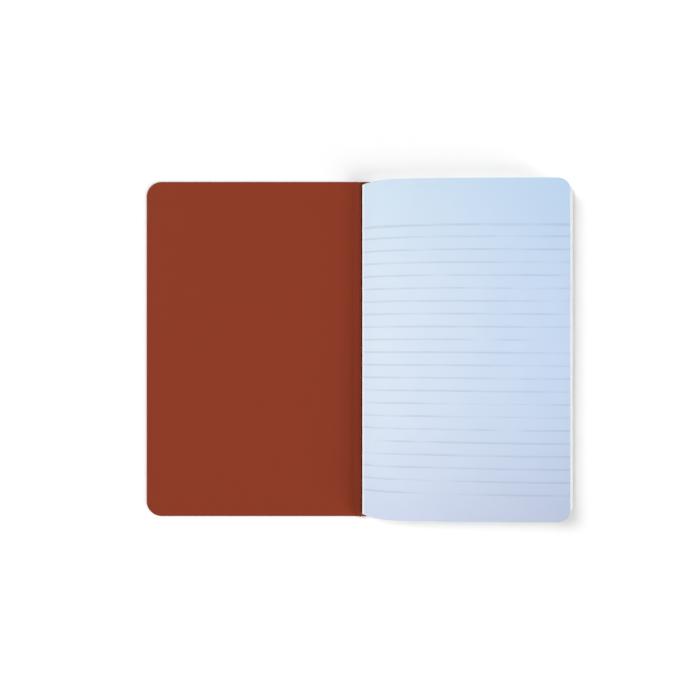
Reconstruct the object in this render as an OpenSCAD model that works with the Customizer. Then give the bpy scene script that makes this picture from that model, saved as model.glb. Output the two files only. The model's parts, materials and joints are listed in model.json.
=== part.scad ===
// Small composition notebook, sewn through the fold, lying open at its first leaf.
// X runs across the open book, Y from tail to head and Z up from the table.
// The origin is on the table, under the fold and halfway between tail and head.

/* [Covers] */
// Height of the book, from tail to head
book_h = 190.5; // [140:0.5:280]
// Width of each cover, from the fold to its fore-edge
cover_w = 121.7; // [90:0.1:220]
// Thickness of the cover card
card_t = 0.5; // [0.3:0.05:0.9]
// Radius of the two outer corners of each cover
cover_corner_r = 8.5; // [3:0.5:20]
// How far the ends of the card are trimmed back at the fold
card_draw = 1.1; // [0.2:0.1:3]

/* [Spine] */
// Height of the rounded spine with the book shut
spine_h = 8; // [6:0.1:12]
// Gap between the two covers where they stand back to back under the fold
fold_gap = 0.1; // [0.06:0.02:0.3]
// Gap between the sewn edge of the leaves and the card that wraps it
wrap_gap = 0.5; // [0.2:0.05:0.8]

/* [Leaves] */
// Thickness of the leaves at the fore-edge
leaves_t = 10; // [8:0.1:16]
// How far the first leaf lies below the shut cover at the spine
nip_drop = 0.3; // [0.1:0.1:1]
// Width over which the leaves round down to the fold
gutter_roll = 14; // [8:0.5:24]
// Width over which the first leaf rises gently to its full height
leaf_swell = 95; // [60:1:110]
// How far the first leaf lies back from the last one at the fore-edge
fan_back = 6.1; // [1:0.1:8]
// Radius of the two outer corners of the leaves
leaf_corner_r = 6; // [3:0.5:20]
// How far the sewing draws in the two ends of the leaves at the fold
leaf_draw = 2.6; // [0.5:0.1:5]
// Width over which that draw-in fades out
leaf_draw_w = 28; // [10:1:50]
// How far the covers stand out past the leaves at head and tail
end_overhang = 0.3; // [0.1:0.1:3]
// How far the covers stand out past the last leaf at the fore-edge
fore_overhang = 0.1; // [0.1:0.1:3]

/* [Sewing] */
// Diameter of the sewing thread
thread_d = 0.4; // [0.2:0.05:0.6]
// Length of one stitch along the fold
stitch_l = 7.2; // [4:0.2:12]
// Space between one stitch and the next
stitch_space = 1.2; // [0.8:0.1:4]
// Distance from head or tail to the end of the sewing
sewing_margin = 9; // [5:0.5:30]
// Clearance between the thread and the edges of the card beside it
thread_clear = 0.1; // [0.05:0.01:0.2]

/* [Hidden] */

// Smoothness of the round edges
$fn = 96;
// Steps along the rise of the first leaf, and round the sewn edge below the fold
rise_steps = 40;
wrap_steps = 12;
// Steps along the drawn-in ends of the card and of the leaves
card_draw_steps = 6;
leaf_draw_steps = 14;

// Extra length on a shape that another one trims
spill = 1;

// The fold, about which both covers and the leaves turn
fold_z = spine_h / 2;
// Radius of each half of the wrap inside the card, and the middle of its arc
wrap_r = fold_z - card_t;
wrap_x = fold_gap / 2 + fold_z;
// The edges of the card stop short of the fold to leave the thread its room
fold_setback = thread_d / 2 + thread_clear;

// The sewn edge of the leaves, and the middle of its lower arc
leaf_x = fold_gap / 2 + card_t + wrap_gap;
leaf_arc_x = leaf_x + wrap_r;
// The last leaf reaches this far at the fore-edge
last_leaf_x = cover_w - fore_overhang;
// The first leaf reaches this far and this high
first_leaf_x = last_leaf_x - fan_back;
first_leaf_z = card_t + leaves_t;
// Height of the first leaf at the spine, and its gentle rise from there to the fore-edge
nip_z = spine_h - card_t - nip_drop;
leaf_rise = first_leaf_z - nip_z;
leaves_h = book_h - 2 * end_overhang;
// Lean of the fore-edge, from upright
fan_angle = atan(fan_back / leaves_t);

stitch_pitch = stitch_l + stitch_space;
sewn_h = book_h - 2 * sewing_margin;
stitches = floor((sewn_h + stitch_space) / stitch_pitch);

// Height of the first leaf at x: a quarter of an ellipse over the gutter, plus a quarter of a
// sine wave from the sewn edge to the fore-edge
function roll_part(x) = sqrt(1 - pow(1 - min(1, (x - leaf_x) / gutter_roll), 2));
function rise_part(x) = sin(90 * min(1, (x - leaf_x) / leaf_swell));
function leaf_z(x) = fold_z + (nip_z - fold_z) * roll_part(x) + leaf_rise * rise_part(x);

// Steps that crowd towards the gutter, where the leaf turns down most
function leaf_step(i) = leaf_x + (first_leaf_x - leaf_x) * pow(i / rise_steps, 2);

// Plan of a sheet of height h from x0 to w, whose two ends draw in towards x0: most there, and
// less by the cube of the way left up to the reach
module drawn_plan(x0, w, h, draw, reach, steps) {
    way = [for (i = [0 : steps]) i / steps];
    head = [for (t = way) [x0 + reach * t, h / 2 - draw * pow(1 - t, 3)]];
    tail = [for (i = [steps : -1 : 0]) [head[i][0], -head[i][1]]];
    polygon(concat(head, [[w, h / 2], [w, -h / 2]], tail));
}

// Plan of a sheet from the fold to w, with its two outer corners rounded
module sheet_plan(w, h, r) {
    translate([0, -h / 2])
        square([w - r, h]);
    translate([0, -h / 2 + r])
        square([w, h - 2 * r]);
    for (side = [-1, 1])
        translate([w - r, side * (h / 2 - r)])
            circle(r = r);
}

// Section across the fold of one cover: flat card, then half of the rounded spine
module cover_section() {
    translate([wrap_x, 0])
        square([cover_w - wrap_x + spill, card_t]);
    translate([wrap_x, fold_z])
        intersection() {
            difference() {
                circle(r = fold_z);
                circle(r = wrap_r);
            }
            translate([-fold_z, -fold_z])
                square([fold_z, fold_z - fold_setback]);
        }
}

// One cover, from the fold to the fore-edge on the right
module cover() {
    intersection() {
        rotate([90, 0, 0])
            linear_extrude(height = book_h + spill, center = true)
                cover_section();
        translate([0, 0, -spill])
            linear_extrude(height = fold_z + spill)
                sheet_plan(cover_w, book_h, cover_corner_r);
        translate([0, 0, -spill])
            linear_extrude(height = fold_z + spill)
                drawn_plan(fold_gap / 2, cover_w + spill, book_h, card_draw, fold_z, card_draw_steps);
    }
}

module back_cover() {
    color([0.56, 0.24, 0.157])
        cover();
}

module front_cover() {
    color([0.56, 0.24, 0.157])
        mirror([1, 0, 0])
            cover();
}

// Section of the leaves across the fold: flat below, a quarter circle at the sewn edge, and
// the curve of the first leaf above, carried on past the fore-edge
module leaves_section() {
    lower = [for (i = [0 : wrap_steps])
        let (a = 90 * i / wrap_steps)
        [leaf_arc_x - wrap_r * sin(a), fold_z - wrap_r * cos(a)]];
    upper = [for (i = [1 : rise_steps])
        [leaf_step(i), leaf_z(leaf_step(i))]];
    polygon(concat(
        lower,
        upper,
        [[cover_w, first_leaf_z], [cover_w + spill, card_t]]));
}

// Leaves as one block: the section, cut by a sheet plan that leans back at the fore-edge and by
// one whose ends draw in towards the fold
module page_block() {
    lean_w = last_leaf_x * cos(fan_angle);
    color([0.82, 0.88, 0.95])
        intersection() {
            rotate([90, 0, 0])
                linear_extrude(height = book_h, center = true)
                    leaves_section();
            translate([0, 0, card_t])
                rotate([0, -fan_angle, 0])
                    translate([0, 0, -cover_w])
                        linear_extrude(height = 2 * cover_w)
                            sheet_plan(lean_w, leaves_h, leaf_corner_r);
            linear_extrude(height = cover_w)
                drawn_plan(leaf_x, cover_w + spill, leaves_h, leaf_draw, leaf_draw_w, leaf_draw_steps);
        }
}

// One stitch: a run along the fold whose two ends turn in to the sewn edge of the leaves
module stitch() {
    run = stitch_l - thread_d;
    rotate([90, 0, 0])
        cylinder(h = run, d = thread_d, center = true);
    for (side = [-1, 1])
        translate([0, side * run / 2, 0]) {
            sphere(d = thread_d);
            rotate([0, 90, 0])
                cylinder(h = leaf_x, d = thread_d);
        }
}

module binding_thread() {
    color([0.25, 0.13, 0.1])
        for (i = [0 : stitches - 1])
            translate([0, (i - (stitches - 1) / 2) * stitch_pitch, fold_z])
                stitch();
}

back_cover();
front_cover();
page_block();
binding_thread();
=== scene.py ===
"""Dresses a small composition notebook that lies open at its first ruled leaf.

Everything is in metres, in the frame of the solids: X runs from the fold to the fore-edge of the
leaves, Y from tail to head and Z up from the table. Card, sheets and thread are each a profile
carried along a path that lies in one plane, worked out as whole arrays from the path.
"""

import json

import bpy
import numpy as np
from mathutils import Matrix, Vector


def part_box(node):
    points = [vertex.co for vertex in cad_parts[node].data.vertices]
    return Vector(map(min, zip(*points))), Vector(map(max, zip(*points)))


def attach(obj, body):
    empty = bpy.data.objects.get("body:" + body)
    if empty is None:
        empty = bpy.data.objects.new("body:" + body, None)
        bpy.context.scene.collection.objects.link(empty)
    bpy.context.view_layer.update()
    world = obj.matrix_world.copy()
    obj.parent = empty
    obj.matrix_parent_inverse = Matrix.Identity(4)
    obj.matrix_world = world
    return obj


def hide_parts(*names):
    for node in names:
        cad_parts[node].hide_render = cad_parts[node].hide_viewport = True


bl_info = {
    "name": "Open Composition Notebook",
    "version": (1, 0, 0),
    "blender": (4, 5, 0),
    "location": "3D View > Sidebar > Notebook",
    "description": "Builds the card, ruled leaves and sewing of an open composition notebook",
    "category": "Object",
}

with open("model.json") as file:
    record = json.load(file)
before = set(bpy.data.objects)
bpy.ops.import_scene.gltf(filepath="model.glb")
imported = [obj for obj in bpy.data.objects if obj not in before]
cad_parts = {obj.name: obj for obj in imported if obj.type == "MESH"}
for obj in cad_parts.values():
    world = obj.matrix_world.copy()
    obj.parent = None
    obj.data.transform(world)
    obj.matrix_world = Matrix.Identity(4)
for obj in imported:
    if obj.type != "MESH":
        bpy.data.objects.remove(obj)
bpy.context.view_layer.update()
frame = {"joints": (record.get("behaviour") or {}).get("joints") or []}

MM = 0.001
FOLD_Z = frame["joints"][0]["pos_m"][2]
COVER_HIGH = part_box("back_cover")[1]
LEAF_LOW, LEAF_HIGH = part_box("page_block")
THREAD_LOW, THREAD_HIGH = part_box("binding_thread")
CARD_T = LEAF_LOW.z
WRAP_R = FOLD_Z - CARD_T


def srgb(red, green, blue):
    """Linear colour of three sRGB levels from 0 to 255."""
    level = np.array([red, green, blue]) / 255
    linear = np.where(level <= 0.04045, level / 12.92, ((level + 0.055) / 1.055) ** 2.4)
    return tuple(float(part) for part in linear)


# Properties


def length(name, text, default, low, high):
    """A length in metres, shown in the scene's units."""
    return bpy.props.FloatProperty(
        name=name, description=text, default=default, min=low, max=high,
        subtype="DISTANCE", unit="LENGTH", precision=5,
    )


def share(name, text, default, high=1.0):
    """A plain number from none to high, such as a share or a strength."""
    return bpy.props.FloatProperty(name=name, description=text, default=default, min=0, max=high)


def colour(name, text, default):
    """A linear colour."""
    return bpy.props.FloatVectorProperty(
        name=name, description=text, default=default, size=3, subtype="COLOR", min=0, max=1,
    )


def direction(name, text, default):
    """A vector that points to where light comes from."""
    return bpy.props.FloatVectorProperty(
        name=name, description=text, default=default, size=3, subtype="DIRECTION",
    )


class CoverSettings(bpy.types.PropertyGroup):
    """Sizes and colours of the two card covers."""

    corner_r: length("Corner radius", "Radius of the fore-edge corners", 8.5 * MM, 0, 20 * MM)
    fold_gap: length("Fold gap", "Gap between the two cut edges", 0.006 * MM, 0, 1 * MM)
    setback: length("Setback", "How far the card stops short of the fold", 0.3 * MM, 0, 1 * MM)
    edge_r: length("Edge radius", "Rounding of the cut edges", 0.12 * MM, 0, 0.25 * MM)
    draw_in: length("Draw-in", "How far each end is trimmed back at the fold", 1.1 * MM, 0, 5 * MM)
    card: colour("Card", "Colour of the faces", srgb(140, 57, 34))
    cut: colour("Cut edge", "Colour of the cut edges", srgb(118, 48, 31))
    # Painted shade: the card is multiplied by the crease tint where it bends round the fold, out to
    # the crease reach.
    fold_tint: colour("Crease tint", "What the card is multiplied by at the crease", (0.83, 0.84, 0.78))
    crease_shade_w: length("Crease", "How far the rubbed crease reaches", 4.3 * MM, 2 * MM, 0.03)


class LeafSettings(bpy.types.PropertyGroup):
    """Sizes, ruling and colours of the sewn leaves."""

    sheets: bpy.props.IntProperty(
        name="Sheets", description="Folded sheets, each making two leaves", default=50, min=8, max=80
    )
    corner_r: length("Corner radius", "Radius of the fore-edge corners", 6 * MM, 0, 20 * MM)
    nip_z: length("Height at the spine", "Top of the first leaf at the spine", 7.2 * MM, 0, 0.02)
    roll: length("Gutter roll", "Width over which the leaf turns down", 14 * MM, 1 * MM, 0.03)
    swell: length("Swell", "Width over which the leaf rises gently", 95 * MM, 1 * MM, 0.2)
    fan_back: length("Fan", "How far the first leaf lies back", 6.1 * MM, 0, 0.01)
    draw_in: length("Draw-in", "How far the sewing draws in each end", 2.6 * MM, 0, 5 * MM)
    draw_w: length("Draw-in width", "Width over which it fades out", 28 * MM, 1 * MM, 0.05)
    ragged: length("Raggedness", "Spread of the cut edges", 0.07 * MM, 0, 0.3 * MM)
    head_margin: length("Head margin", "Head of the leaf to the head line", 25.65 * MM, 0, 0.05)
    head_gap: length("Head gap", "Head line to the first rule", 6.51 * MM, 0, 0.02)
    pitch: length("Ruling", "Pitch of the rules", 7.147 * MM, 1 * MM, 0.02)
    rules: bpy.props.IntProperty(
        name="Rules", description="Rules below the head line", default=21, min=0, max=60
    )
    rule_w: length("Rule width", "Width of a printed rule", 1 * MM, 0.05 * MM, 2 * MM)
    rule_soft: length("Rule softness", "How far a rule's edges blur", 0.25 * MM, 0, 1 * MM)
    rule_draw: share("Rule draw-in", "Share by which the rules draw in at the fold", 0.024)
    rule_draw_w: length("Rule draw-in width", "Width over which it fades", 30 * MM, 1 * MM, 0.1)
    rule_wave: length("Rule wave", "How far the rules waver along the leaf", 0.22 * MM, 0, 1 * MM)
    rule_wave_l: length("Rule wave length", "Length of that wave", 150 * MM, 10 * MM, 0.5)
    # Partly the paper's own blue and partly painted light: the paper is lighter near the gutter.
    pale: colour("Gutter paper", "Paper near the fold", srgb(227, 236, 248))
    cool: colour("Outer paper", "Paper towards the fore-edge", srgb(198, 216, 240))
    # Painted shade: the head, tail and corner tints darken the paper towards its head, its tail and
    # its outer tail corner.
    head_shade: colour("Head tint", "What the paper is multiplied by at its head", (0.89, 0.96, 0.975))
    tail_shade: colour("Tail tint", "What it is multiplied by at its tail", (0.885, 0.885, 0.955))
    tail_corner_shade: colour("Corner tint", "And at its outer tail corner as well", (1.0, 0.91, 0.85))
    ink: colour("Ink", "What it is multiplied by under a rule", (0.86, 0.875, 0.90))
    cloud: colour("Cloud tint", "What the paper is multiplied by in a cloud", (0.93, 0.955, 0.97))
    fold_tint: colour("Rubbed paper", "Paper rubbed white at the fold", srgb(252, 255, 250))
    rubbed_w: length("Rubbed width", "How far the rubbed paper reaches", 1.6 * MM, 0.1 * MM, 0.01)
    edge: colour("Cut paper", "Colour of the cut edges", srgb(252, 255, 255))
    glue: colour("Glue", "Colour of the sewn edge below the fold", srgb(150, 62, 40))


class ThreadSettings(bpy.types.PropertyGroup):
    """Sizes and colour of the sewing."""

    diameter: length("Diameter", "Diameter of the thread", 0.4 * MM, 0.1 * MM, 1 * MM)
    stitch: length("Stitch", "Length of one stitch", 7.2 * MM, 1 * MM, 0.02)
    space: length("Space", "Space between two stitches", 1.2 * MM, 0, 0.01)
    lay: length("Lay", "Length of one turn of the twist", 0.9 * MM, 0.2 * MM, 5 * MM)
    tint: colour("Thread", "Colour of the thread", srgb(172, 62, 36))


class StageSettings(bpy.types.PropertyGroup):
    """The camera over the book, the floor and the lamps."""

    camera_x: length("Camera X", "Where the camera stands across the book", -6.35 * MM, -0.1, 0.1)
    camera_y: length("Camera Y", "Where it stands along the book", 15 * MM, -0.1, 0.1)
    camera_z: length("Camera height", "Height of the camera over the table", 295 * MM, 0.1, 2)
    lens: bpy.props.FloatProperty(
        name="Lens", description="Focal length for a 36 mm sensor", default=26.65, min=10, max=200
    )
    floor_size: length("Floor", "Side of the floor", 6, 1, 20)
    floor_drop: length("Floor drop", "How far the floor lies under the card", 0.02 * MM, 0, 1 * MM)
    floor: colour("Floor colour", "Colour of the floor", (1.0, 1.0, 1.0))
    glow: share("Floor glow", "Light that the camera sees on the floor besides", 0.006)
    sky: share("Sky", "Strength of the light from all round", 0.4, 2)
    key: share("Key lamp", "Strength of the lamp at the head, over the front cover", 2.0, 10)
    key_from: direction("Key from", "Where the key lamp shines from", (-0.6, 0.42, 0.6))
    fill: share("Fill lamp", "Strength of the low lamp past the fore-edge", 1.85, 10)
    fill_from: direction("Fill from", "Where the fill lamp shines from", (0.7, -0.45, 0.3))
    spread: bpy.props.FloatProperty(
        name="Spread", description="Angle that each lamp fills, which softens its shadow",
        default=0.5, min=0, max=1.5, subtype="ANGLE",
    )


# Shader graphs


class Value:
    """A number that varies over a surface. Sums and products of it add Math nodes."""

    def __init__(self, graph, socket):
        self.graph = graph
        self.socket = socket

    def math(self, operation, *others):
        """The result of a Math node with this value as its first input."""
        return self.graph.math(operation, self, *others)

    def __add__(self, other):
        return self.math("ADD", other)

    __radd__ = __add__

    def __sub__(self, other):
        return self.math("SUBTRACT", other)

    def __rsub__(self, other):
        return self.graph.math("SUBTRACT", other, self)

    def __mul__(self, other):
        return self.math("MULTIPLY", other)

    __rmul__ = __mul__

    def __truediv__(self, other):
        return self.math("DIVIDE", other)

    def __abs__(self):
        return self.math("ABSOLUTE")

    def step(self, low, high):
        """0 below low and 1 above high, with a smooth rise between them."""
        settings = {"interpolation_type": "SMOOTHSTEP"}
        sockets = {"Value": self, "From Min": low, "From Max": high}
        return self.graph.value("ShaderNodeMapRange", settings, sockets, "Result")


class Graph:
    """The nodes of one material or world."""

    def __init__(self, tree):
        self.tree = tree
        tree.nodes.clear()

    def node(self, kind, settings=(), sockets=()):
        """A node of that kind. Its settings are set first, then its sockets' values or links."""
        made = self.tree.nodes.new(kind)
        for name, setting in dict(settings).items():
            setattr(made, name, setting)
        for name, given in dict(sockets).items():
            given = getattr(given, "socket", given)
            if isinstance(given, bpy.types.NodeSocket):
                self.tree.links.new(given, made.inputs[name])
            else:
                made.inputs[name].default_value = given
        return made

    def value(self, kind, settings, sockets, output):
        """One output of a new node, as a Value."""
        return Value(self, self.node(kind, settings, sockets).outputs[output])

    def math(self, operation, *inputs):
        """The result of a Math node."""
        return self.value("ShaderNodeMath", {"operation": operation}, enumerate(inputs), 0)

    def mix(self, factor, first, second, blend="MIX"):
        """A colour between two colours, or with MULTIPLY between the first and their product."""
        colours = [(*c, 1) if isinstance(c, tuple) else c for c in (first, second)]
        sockets = {0: factor, 6: colours[0], 7: colours[1]}
        settings = {"data_type": "RGBA", "blend_type": blend}
        return self.node("ShaderNodeMix", settings, sockets).outputs[2]

    def place(self):
        """The piece's own coordinates, and their X, Y and Z in metres."""
        coordinates = self.node("ShaderNodeTexCoord").outputs["Object"]
        split = self.node("ShaderNodeSeparateXYZ", (), {0: coordinates})
        return coordinates, [Value(self, split.outputs[i]) for i in range(3)]

    def noise(self, coordinates, size, detail=3.0, stretch=(1, 1, 1)):
        """Noise from 0 to 1 whose grains are about size metres across, and as many times smaller
        along each axis as stretch says."""
        scale = tuple(part / size for part in stretch)
        mapped = self.node("ShaderNodeMapping", (), {"Vector": coordinates, "Scale": scale})
        sockets = {"Vector": mapped.outputs[0], "Scale": 1.0, "Detail": detail}
        return self.value("ShaderNodeTexNoise", (), sockets, 0)

    def bump(self, height, distance, strength):
        """A normal from a height."""
        sockets = {"Height": height, "Distance": distance, "Strength": strength}
        return self.node("ShaderNodeBump", (), sockets).outputs[0]

    def surface(self, sockets):
        """A Principled shader on the output."""
        shader = self.node("ShaderNodeBsdfPrincipled", (), sockets)
        self.node("ShaderNodeOutputMaterial", (), {"Surface": shader.outputs[0]})


def new_graph(name):
    """A new material and its empty graph."""
    material = bpy.data.materials.new(name)
    material.use_nodes = True
    return material, Graph(material.node_tree)


def shade(tint, factor):
    """A colour times a factor, up to white."""
    return tuple(min(1.0, factor * part) for part in tint)


def card_material(name, tint, fibre, settings):
    """Matt card: a tint that wavers between a darker and a lighter shade by soft mottling and
    short fibres, darkened a little by painted shade where it bends beside the fold,
    under a fine felt."""
    mottle = 0.1
    contrast = 0.22
    crease_start, crease_core = 1.5 * MM, 1.8 * MM
    rough, rough_spread = 0.72, 0.12
    material, graph = new_graph(name)
    coordinates, (across, _, _) = graph.place()
    clouds = graph.noise(coordinates, size=9 * MM, detail=4)
    fibres = graph.noise(coordinates, size=0.5 * MM, detail=4, stretch=(1, 0.35, 1))
    tone = (clouds - 0.5) * mottle + (fibres - 0.5) * fibre
    card = graph.mix(tone + 0.5, shade(tint, 1 - contrast), shade(tint, 1 + contrast))
    out = abs(across)
    # Painted shade: the card darkens by the crease tint where it bends round the fold.
    painted_crease_shade = out.step(0, crease_start) * (1 - out.step(crease_core, settings.crease_shade_w))
    graph.surface({
        "Base Color": graph.mix(painted_crease_shade, card, tuple(settings.fold_tint), "MULTIPLY"),
        "Roughness": fibres * rough_spread + rough,
        "Specular IOR Level": 0.1,
        "Normal": graph.bump(fibres, distance=0.03 * MM, strength=0.5),
    })
    return material


def ruling(graph, across, along, settings):
    """How much ink the rules and the head line lay at a place, as two values: 1 on a line and 0
    beside it.

    The place along the leaf first loses a slight sine wave of x, and is then divided by
    1 - draw * exp(-x / width), so that the lines draw in towards the fold as they do on the bent
    leaf. A rule lies wherever the distance from the first one, counted in pitches, is near a
    whole number between none and the last.
    """
    wave = (across * (2 * np.pi / settings.rule_wave_l)).math("SINE")
    faded = (across * (-1 / settings.rule_draw_w)).math("EXPONENT")
    along = (along - wave * settings.rule_wave) / (1 - faded * settings.rule_draw)
    head_y = LEAF_HIGH.y - settings.head_margin
    half = settings.rule_w / 2
    soft = settings.rule_soft
    count = (head_y - settings.head_gap - along) / settings.pitch
    off = abs(count - count.math("ROUND")) * settings.pitch
    inside = (count + 0.5).math("GREATER_THAN", 0.0)
    inside = inside * count.math("LESS_THAN", settings.rules - 0.5)
    rule = (1 - off.step(half - soft, half + soft)) * inside
    head = 1 - abs(along - head_y).step(half - soft, half + 2 * soft)
    return rule, head


def sewn_edge(across, up):
    """1 where glue lies, low on the leaves and near the fold, 0 further out or higher up."""
    glue_top, bare_from = FOLD_Z + 0.1 * MM, FOLD_Z + 0.75 * MM
    glue_w, bare_w = 2 * MM, 3.5 * MM
    return (1 - up.step(glue_top, bare_from)) * (1 - across.step(glue_w, bare_w))


def leaf_material(name, settings):
    """Ruled writing paper: pale blue that deepens towards the fore-edge, partly its own colour and
    partly painted light that is lightest at the gutter, with painted shade deeper by the square of
    the way to the head or the tail and at the outer tail corner, faint cockling clouds, a fine
    tooth, the printed ruling, worn in long patches, a line rubbed white at the fold, and glue on
    the sewn edge."""
    head_ink = 1.5
    wear_contrast = 4.0
    wear_level = 0.82
    rough, rough_spread = 0.78, 0.1
    material, graph = new_graph(name)
    coordinates, (across, along, up) = graph.place()
    outward = across * (1 / LEAF_HIGH.x)
    headward = (along * (1 / LEAF_HIGH.y)).math("MAXIMUM", 0.0).math("POWER", 2.0)
    tailward = (along * (-1 / LEAF_HIGH.y)).math("MAXIMUM", 0.0).math("POWER", 2.0)
    # Partly the paper's own blue and partly painted light, lighter towards the gutter.
    paper = graph.mix(outward, tuple(settings.pale), tuple(settings.cool))
    # Painted shade: darker by the square of the way to the head or the tail, and at the outer tail
    # corner.
    paper = graph.mix(headward, paper, tuple(settings.head_shade), "MULTIPLY")
    paper = graph.mix(tailward, paper, tuple(settings.tail_shade), "MULTIPLY")
    paper = graph.mix(tailward * outward, paper, tuple(settings.tail_corner_shade), "MULTIPLY")
    clouds = graph.noise(coordinates, size=22 * MM, detail=2)
    paper = graph.mix(clouds, paper, tuple(settings.cloud), "MULTIPLY")
    rule, head = ruling(graph, across, along, settings)
    patches = graph.noise(coordinates, size=24 * MM, stretch=(1, 6, 1))
    printed = (patches - 0.5) * wear_contrast + wear_level
    ink = rule.math("MAXIMUM", head * head_ink) * printed
    paper = graph.mix(ink, paper, tuple(settings.ink), "MULTIPLY")
    fold_tint = 1 - across.step(LEAF_LOW.x, LEAF_LOW.x + settings.rubbed_w)
    paper = graph.mix(fold_tint, paper, tuple(settings.fold_tint))
    tooth = graph.noise(coordinates, size=0.25 * MM)
    graph.surface({
        "Base Color": graph.mix(sewn_edge(across, up), paper, tuple(settings.glue)),
        "Roughness": tooth * rough_spread + rough,
        "Specular IOR Level": 0.1,
        "Normal": graph.bump(tooth, distance=0.012 * MM, strength=0.35),
    })
    return material


def edge_material(name, settings):
    """Cut paper: near white, with a slight streak from leaf to leaf."""
    contrast = 2.0
    level = 0.8
    darker = 0.85
    material, graph = new_graph(name)
    coordinates, _ = graph.place()
    streak = graph.noise(coordinates, size=0.2 * MM, detail=2, stretch=(0.02, 0.02, 1))
    white = (streak - 0.5) * contrast + level
    graph.surface({
        "Base Color": graph.mix(white, shade(settings.edge, darker), tuple(settings.edge)),
        "Roughness": 0.85,
        "Specular IOR Level": 0.15,
    })
    return material


def thread_material(name, settings):
    """Dull twisted thread, with darker and lighter fibres along it."""
    darker = 0.6
    material, graph = new_graph(name)
    coordinates, _ = graph.place()
    fibres = graph.noise(coordinates, size=0.12 * MM, stretch=(1, 0.2, 1))
    graph.surface({
        "Base Color": graph.mix(fibres, shade(settings.tint, darker), tuple(settings.tint)),
        "Roughness": 0.75,
        "Sheen Weight": 0.05,
        "Normal": graph.bump(fibres, distance=0.02 * MM, strength=0.6),
    })
    return material


# Surfaces


def add_piece(name, points, faces, materials, slots=None, crease=35):
    """A mesh object from its points, its faces and each face's material, smooth but for edges
    that turn by more than crease degrees."""
    mesh = bpy.data.meshes.new(name)
    mesh.from_pydata(points.tolist(), [], faces)
    for material in materials:
        mesh.materials.append(material)
    if slots is not None:
        mesh.polygons.foreach_set("material_index", slots)
    mesh.shade_smooth()
    mesh.set_sharp_from_angle(angle=np.radians(crease))
    mesh.update()
    piece = bpy.data.objects.new(name, mesh)
    bpy.context.scene.collection.objects.link(piece)
    return piece


def normals_of(x, z):
    """Unit normals of a path in the plane of X and Z, a quarter turn to the left of its run."""
    run_x, run_z = np.gradient(x), np.gradient(z)
    size = np.hypot(run_x, run_z)
    return -run_z / size, run_x / size


def ring_faces(stations, ring, start=0):
    """Quads between successive rings of a tube, and a face that closes each end."""
    row = np.arange(stations - 1)[:, None] * ring
    here = np.arange(ring)[None, :]
    following = (here + 1) % ring
    quads = np.stack([row + here, row + following, row + ring + following, row + ring + here], -1)
    ends = [list(range(start, start + ring))[::-1],
            list(range(start + (stations - 1) * ring, start + stations * ring))]
    return (quads.reshape(-1, 4) + start).tolist(), ends


def strip(x, z, half_w, half_t, edge_r):
    """Points of a strip of card along a path, as stations by ring by three.

    The cross-section is a rectangle of half_w by half_t whose corners are quarter circles of
    edge_r. It stands across the path: its width lies along Y, its thickness along the normal.
    """
    corner_points = 3
    turn = np.linspace(0, np.pi / 2, corner_points)
    quarter = np.stack([np.cos(turn), np.sin(turn)])
    signs = [(1, 1), (-1, 1), (-1, -1), (1, -1)]
    y_parts, t_parts = [], []
    for y_sign, t_sign in signs:
        order = slice(None) if y_sign == t_sign else slice(None, None, -1)
        y_parts.append(y_sign * (half_w[:, None] - edge_r[:, None] * (1 - quarter[0][order])))
        t_parts.append(t_sign * (half_t[:, None] - edge_r[:, None] * (1 - quarter[1][order])))
    y, t = np.concatenate(y_parts, 1), np.concatenate(t_parts, 1)
    normal_x, normal_z = normals_of(x, z)
    return np.stack([x[:, None] + t * normal_x[:, None], y, z[:, None] + t * normal_z[:, None]], -1)


def rounded_half_width(x, end_x, half_h, corner_x, corner_y):
    """Half the height of a sheet at x: whole, then a quarter ellipse down to the fore-edge."""
    past = np.clip((x - (end_x - corner_x)) / corner_x, 0, 1)
    return half_h - corner_y + corner_y * np.sqrt(1 - past**2)


def drawn_in(x, start, draw, reach):
    """How far the two ends of a sheet draw in at x: draw times the cube of the share of the reach
    that is still to go, and nothing past it."""
    return draw * (1 - np.clip((x - start) / reach, 0, 1)) ** 3


def cover_points(settings):
    """The back cover's card, from its edge at the fold, round the wrap and out to the fore-edge.

    Its middle line is an arc of radius FOLD_Z less half the card, down to the table, then a
    straight run. The arc's centre puts the outer face half the gap from the fold at the cut edge.
    Its half width follows the round corners and the draw-in. Stations crowd at the corners by a
    sine, and the last ones thin the card by a quarter circle to round its cut edge.
    """
    wrap_points, flat_points, corner_points, edge_points = 24, 26, 24, 4
    half_t = CARD_T / 2
    middle_r = FOLD_Z - half_t
    first = np.arcsin(settings.setback / middle_r)
    centre_x = settings.fold_gap / 2 + FOLD_Z * np.cos(first)
    turn = np.linspace(first, np.pi / 2, wrap_points)
    flat_end = COVER_HIGH.x - settings.corner_r
    flat = np.linspace(centre_x, flat_end, flat_points)[1:]
    corner_turn = np.linspace(0, np.pi / 2, corner_points)[1:-1]
    corner = flat_end + settings.corner_r * np.sin(corner_turn)
    edge_turn = np.linspace(0, np.pi / 2, edge_points)
    last = COVER_HIGH.x - settings.edge_r * (1 - np.sin(edge_turn))
    corner = corner[corner < last[0]]
    x = np.concatenate([centre_x - middle_r * np.cos(turn), flat, corner, last])
    z = np.concatenate([FOLD_Z - middle_r * np.sin(turn), np.full(len(x) - len(turn), half_t)])
    radius = settings.corner_r
    half_w = rounded_half_width(x, COVER_HIGH.x, COVER_HIGH.y, radius, radius)
    half_w = half_w - drawn_in(x, settings.fold_gap / 2, settings.draw_in, FOLD_Z)
    thin = np.zeros(len(x))
    thin[-edge_points:] = settings.edge_r * (1 - np.cos(edge_turn))
    edge_r = np.full(len(x), settings.edge_r)
    return strip(x, z, half_w, half_t - thin, np.minimum(edge_r, half_t - thin))


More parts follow.
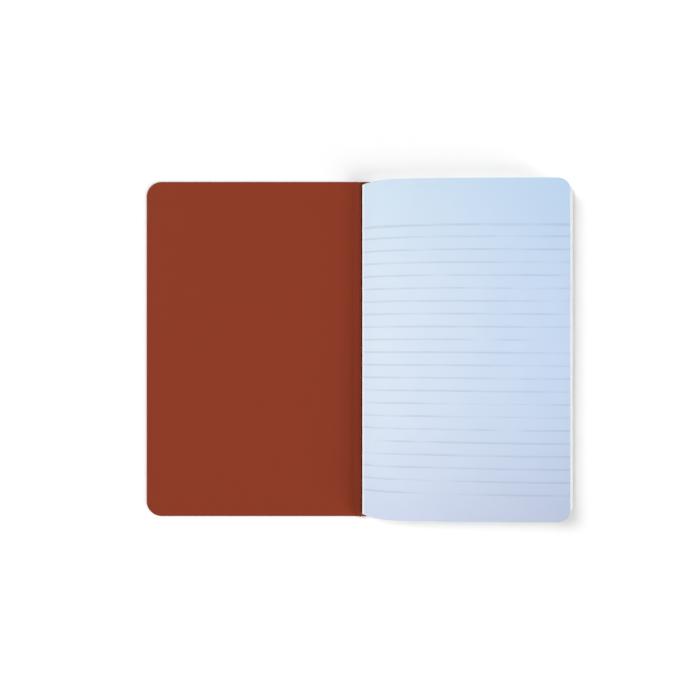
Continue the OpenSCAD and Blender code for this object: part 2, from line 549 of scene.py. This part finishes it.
def build_cover(name, side, settings, materials):
    """One cover. The front cover is the back cover's mirror image, with its faces turned over."""
    face_slot, cut_slot = 0, 1
    points = cover_points(settings)
    stations, ring = points.shape[:2]
    quads, ends = ring_faces(stations, ring)
    faces = quads + ends
    if side < 0:
        points[..., 0] *= -1
        faces = [face[::-1] for face in faces]
    # The broad faces join the first rounded corner to the second, and the third to the fourth
    column = np.arange(ring)
    on_face = (column == ring // 4 - 1) | (column == 3 * ring // 4 - 1)
    around = np.where(on_face, face_slot, cut_slot)
    slots = np.concatenate([np.tile(around, stations - 1), [cut_slot] * len(ends)])
    return add_piece(name, points.reshape(-1, 3), faces, materials, slots)


class AddCovers(bpy.types.Operator):
    """Add the front and back covers of rounded card"""

    bl_idname = "notebook.add_covers"
    bl_label = "Add Covers"

    def execute(self, context):
        face_fibre, cut_fibre = 0.16, 0.3
        settings = context.scene.notebook_covers
        materials = [
            card_material("cover_card_face", settings.card, face_fibre, settings),
            card_material("cover_card_cut", settings.cut, cut_fibre, settings),
        ]
        for node, side in (("back_cover", 1), ("front_cover", -1)):
            cover = build_cover(node + "_card", side, settings, materials)
            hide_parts(node)
            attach(cover, node)
        return {"FINISHED"}


def upper_z(x, settings):
    """Height of the first leaf: a quarter ellipse over the gutter plus a quarter sine wave."""
    roll = np.sqrt(np.maximum(0, 1 - (1 - np.clip((x - LEAF_LOW.x) / settings.roll, 0, 1)) ** 2))
    rise = np.sin(np.pi / 2 * np.clip((x - LEAF_LOW.x) / settings.swell, 0, 1))
    return FOLD_Z + (settings.nip_z - FOLD_Z) * roll + (LEAF_HIGH.z - settings.nip_z) * rise


def leaf_corner_x(settings):
    """How far a leaf's round corner reaches along X. The corners are cut square to the fanned
    fore-edge, so that they reach further across a level leaf than their radius."""
    return settings.corner_r * np.hypot(1, settings.fan_back / (LEAF_HIGH.z - CARD_T))


def sheet_line(depth, settings, lift=0.0):
    """The path of one folded sheet, from its fore-edge over the fold and back along the bottom.

    depth is 0 on the outermost sheet and 1 at the middle opening, and lift is how far the sheet
    lies back at its fore-edge. Past the wrap, a leaf's height is a share of the way from the flat
    bottom to the first leaf: 1 less half the depth over the opening, and half the depth under it.
    Round the wrap, the outer line shrinks by the depth towards the inner end of that opening.
    """
    flat_points, corner_points, wrap_points = 34, 16, 14
    crowding = 1.6
    inner_x = LEAF_LOW.x + WRAP_R
    corner_x = leaf_corner_x(settings)
    upper_share, lower_share = 1 - depth / 2, depth / 2

    def leaf(share):
        end_x = LEAF_HIGH.x - settings.fan_back * share - lift
        way = np.linspace(0, 1, flat_points) ** crowding
        flat = inner_x + (end_x - corner_x - inner_x) * way
        corner_turn = np.linspace(0, np.pi / 2, corner_points)
        corner = end_x - corner_x * (1 - np.sin(corner_turn))[1:]
        x = np.concatenate([flat, corner])
        return x, CARD_T + (upper_z(x, settings) - CARD_T) * share, end_x

    upper_x, upper_line, upper_end = leaf(upper_share)
    lower_x, lower_line, lower_end = leaf(lower_share)
    turn = np.linspace(0, np.pi / 2, wrap_points)
    wrap_x = inner_x - WRAP_R * np.sin(turn)
    over_z = upper_z(wrap_x, settings)
    under_z = FOLD_Z - np.sqrt(np.maximum(0, WRAP_R**2 - (inner_x - wrap_x) ** 2))
    middle_z = (upper_line[0] + lower_line[0]) / 2
    ring_x = np.concatenate([wrap_x[1:], wrap_x[1:-1][::-1]])
    ring_z = np.concatenate([over_z[1:], under_z[1:-1][::-1]])
    ring_x = inner_x + (ring_x - inner_x) * (1 - depth)
    ring_z = middle_z + (ring_z - middle_z) * (1 - depth)
    x = np.concatenate([upper_x[::-1], ring_x, lower_x])
    z = np.concatenate([upper_line[::-1], ring_z, lower_line])
    end_x = np.concatenate([np.full(len(upper_x) + len(ring_x), upper_end),
                            np.full(len(lower_x), lower_end)])
    return x, z, end_x


def sheet_points(index, settings, jitter):
    """Four lines of points along one folded sheet: its outer face, then its inner face.

    Each line is a path moved to one end of the sheet, by the half width that the rounded corners,
    the draw-in and the ragged cut leave. The inner path is deeper by the paper's share of the
    room that one sheet has, and air fills the rest.
    """
    paper_share = 0.86
    outer = sheet_line(index / settings.sheets, settings, jitter[0])
    inner = sheet_line((index + paper_share) / settings.sheets, settings, jitter[0])
    rows = []
    for (x, z, end_x), side in ((outer, -1), (outer, 1), (inner, 1), (inner, -1)):
        half = rounded_half_width(x, end_x, LEAF_HIGH.y, leaf_corner_x(settings), settings.corner_r)
        half = half - drawn_in(x, LEAF_LOW.x, settings.draw_in, settings.draw_w)
        half = half - jitter[1 if side > 0 else 2]
        rows.append(np.stack([x, side * half, z], -1))
    return np.stack(rows, 1)


def build_leaves(name, settings, materials):
    """All the folded sheets, nested. The outermost one's outer face carries the ruling, and the
    others are cut back a little at random at their fore-edge, head and tail."""
    ruled_slot, inner_slot, cut_slot = 0, 1, 2
    seed = 11
    crease = 50
    cuts = 3
    rng = np.random.default_rng(seed)
    jitter = np.abs(rng.normal(0, settings.ragged, (settings.sheets, cuts)))
    jitter[0] = 0
    points, faces, slots = [], [], []
    for index in range(settings.sheets):
        rows = sheet_points(index, settings, jitter[index])
        stations, ring = rows.shape[:2]
        quads, ends = ring_faces(stations, ring, len(points) * stations * ring)
        faces += quads + ends
        outer_slot = ruled_slot if index == 0 else inner_slot
        slots.append(np.tile([outer_slot, cut_slot, inner_slot, cut_slot], stations - 1))
        slots.append([cut_slot] * len(ends))
        points.append(rows.reshape(-1, 3))
    slots = np.concatenate(slots)
    return add_piece(name, np.concatenate(points), faces, materials, slots, crease)


class AddLeaves(bpy.types.Operator):
    """Add the nested, sewn sheets with their ruling"""

    bl_idname = "notebook.add_leaves"
    bl_label = "Add Leaves"

    def execute(self, context):
        settings = context.scene.notebook_leaves
        materials = [
            leaf_material("ruled_leaf", settings),
            edge_material("inner_leaf", settings),
            edge_material("leaf_edge", settings),
        ]
        leaves = build_leaves("sewn_leaves", settings, materials)
        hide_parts("page_block")
        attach(leaves, "page_block")
        return {"FINISHED"}


def stitch_line(settings):
    """The path of one stitch in plan: in from the leaves, along the fold and back, with corners
    rounded by a quarter circle."""
    leg_points, bend_points, run_points = 5, 7, 44
    bend_diameters = 0.6
    half = (settings.stitch - settings.diameter) / 2
    bend = bend_diameters * settings.diameter
    turn = np.linspace(0, np.pi / 2, bend_points)
    leg = np.linspace(LEAF_LOW.x, bend, leg_points)[:-1]
    x = np.concatenate([leg, bend * (1 - np.sin(turn))])
    y = np.concatenate([np.full(len(leg), -half), -half + bend * (1 - np.cos(turn))])
    run = np.linspace(-half + bend, half - bend, run_points)[1:-1]
    return (np.concatenate([x, np.zeros(len(run)), x[::-1]]),
            np.concatenate([y, run, -y[::-1]]))


def stitch_points(settings):
    """A round tube along the stitch, its radius swelling and sinking three times round a ring
    and turning as it goes, as three twisted plies do."""
    ring_points = 18
    plies = 3
    groove = 0.12
    x, y = stitch_line(settings)
    run_x, run_y = np.gradient(x), np.gradient(y)
    size = np.hypot(run_x, run_y)
    gone = np.cumsum(size) - size[0]
    angle = np.linspace(0, 2 * np.pi, ring_points, endpoint=False)[None, :]
    twist = 2 * np.pi * gone[:, None] / settings.lay
    radius = settings.diameter / 2 * (1 - groove + groove * np.cos(plies * angle - twist))
    across = radius * np.cos(angle)
    return np.stack([
        x[:, None] - across * (run_y / size)[:, None],
        y[:, None] + across * (run_x / size)[:, None],
        FOLD_Z + radius * np.sin(angle),
    ], -1)


class AddThread(bpy.types.Operator):
    """Add the row of stitches along the fold"""

    bl_idname = "notebook.add_thread"
    bl_label = "Add Thread"

    def execute(self, context):
        settings = context.scene.notebook_thread
        shape = stitch_points(settings)
        stations, ring = shape.shape[:2]
        pitch = settings.stitch + settings.space
        count = round((THREAD_HIGH.y - THREAD_LOW.y + settings.space) / pitch)
        places = (np.arange(count) - (count - 1) / 2) * pitch
        points, faces = [], []
        for number, place in enumerate(places):
            quads, ends = ring_faces(stations, ring, number * stations * ring)
            faces += quads + ends
            points.append((shape + [0, place, 0]).reshape(-1, 3))
        materials = [thread_material("sewing_thread", settings)]
        thread = add_piece("sewing_thread", np.concatenate(points), faces, materials)
        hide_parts("binding_thread")
        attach(thread, "page_block")
        return {"FINISHED"}


# Stage


def seen(graph):
    """1 for rays from the camera or off or through gloss and glass, and 0 for the rest."""
    path = graph.node("ShaderNodeLightPath")
    rays = [Value(graph, path.outputs[f"Is {kind} Ray"])
            for kind in ("Camera", "Glossy", "Transmission")]
    return rays[0].math("MAXIMUM", rays[1]).math("MAXIMUM", rays[2])


def floor_material(name, tint, strength):
    """A white floor that keeps shadows, with a faint glow that only the camera and gloss see."""
    material, graph = new_graph(name)
    diffuse = graph.node("ShaderNodeBsdfDiffuse", (), {"Color": (*tint, 1)})
    glow = graph.node("ShaderNodeEmission", (), {"Strength": seen(graph) * strength})
    both = graph.node("ShaderNodeAddShader", (), {0: diffuse.outputs[0], 1: glow.outputs[0]})
    graph.node("ShaderNodeOutputMaterial", (), {"Surface": both.outputs[0]})
    return material


def white_world(name, sky):
    """White behind everything, and an even light of strength sky on the object."""
    world = bpy.data.worlds.new(name)
    world.use_nodes = True
    graph = Graph(world.node_tree)
    strength = seen(graph) * (1 - sky) + sky
    light = graph.node("ShaderNodeBackground", (), {"Color": (1, 1, 1, 1), "Strength": strength})
    graph.node("ShaderNodeOutputWorld", (), {"Surface": light.outputs[0]})
    return world


def add_lamp(name, place, strength, spread):
    """A distant lamp that shines from a place towards the book."""
    lamp = bpy.data.lights.new(name, "SUN")
    lamp.angle = spread
    lamp.energy = strength
    lamp_object = bpy.data.objects.new(name, lamp)
    lamp_object.location = place
    lamp_object.rotation_euler = Vector(place).to_track_quat("Z", "Y").to_euler()
    bpy.context.scene.collection.objects.link(lamp_object)


class AddStage(bpy.types.Operator):
    """Add the floor, the lamps and the camera that looks straight down"""

    bl_idname = "notebook.add_stage"
    bl_label = "Add Stage"

    def execute(self, context):
        sensor_mm = 36
        nearest, furthest = 0.01, 20
        settings = context.scene.notebook_stage
        half = settings.floor_size / 2
        corners = np.array([[-half, -half], [half, -half], [half, half], [-half, half]])
        points = np.column_stack([corners, np.full(len(corners), -settings.floor_drop)])
        white = floor_material("white_floor", settings.floor, settings.glow)
        floor = add_piece("floor", points, [[0, 1, 2, 3]], [white])
        context.scene.world = white_world("soft_room", settings.sky)

        add_lamp("key_lamp", settings.key_from, settings.key, settings.spread)
        add_lamp("fill_lamp", settings.fill_from, settings.fill, settings.spread)

        camera = bpy.data.cameras.new("camera")
        camera.sensor_width = sensor_mm
        camera.lens = settings.lens
        shift = settings.camera_y / (settings.camera_z - CARD_T)
        camera.shift_y = -shift * settings.lens / camera.sensor_width
        camera.clip_start = nearest
        camera.clip_end = furthest
        camera_object = bpy.data.objects.new("camera", camera)
        camera_object.location = (settings.camera_x, settings.camera_y, settings.camera_z)
        context.scene.collection.objects.link(camera_object)
        context.scene.camera = camera_object
        context.scene.view_settings.view_transform = "Standard"
        return {"FINISHED"}


class NotebookPanel(bpy.types.Panel):
    """Buttons and settings in the sidebar of the 3D view."""

    bl_idname = "VIEW3D_PT_notebook"
    bl_label = "Composition Notebook"
    bl_space_type = "VIEW_3D"
    bl_region_type = "UI"
    bl_category = "Notebook"

    def draw(self, context):
        for group, operator in GROUPS:
            box = self.layout.box()
            settings = getattr(context.scene, group)
            for name in settings.__annotations__:
                box.prop(settings, name)
            box.operator(operator.bl_idname)


SETTINGS = {
    "notebook_covers": CoverSettings,
    "notebook_leaves": LeafSettings,
    "notebook_thread": ThreadSettings,
    "notebook_stage": StageSettings,
}
GROUPS = list(zip(SETTINGS, (AddCovers, AddLeaves, AddThread, AddStage)))
CLASSES = (*SETTINGS.values(), AddCovers, AddLeaves, AddThread, AddStage, NotebookPanel)


def register():
    """Registers the classes and hangs the settings on the scene."""
    for item in CLASSES:
        bpy.utils.register_class(item)
    for name, group in SETTINGS.items():
        setattr(bpy.types.Scene, name, bpy.props.PointerProperty(type=group))


def unregister():
    """Undoes register."""
    for name in SETTINGS:
        delattr(bpy.types.Scene, name)
    for item in reversed(CLASSES):
        bpy.utils.unregister_class(item)


def main():
    """Builds every piece and the stage."""
    register()
    bpy.ops.notebook.add_covers()
    bpy.ops.notebook.add_leaves()
    bpy.ops.notebook.add_thread()
    bpy.ops.notebook.add_stage()


if __name__ == "__main__":
    main()
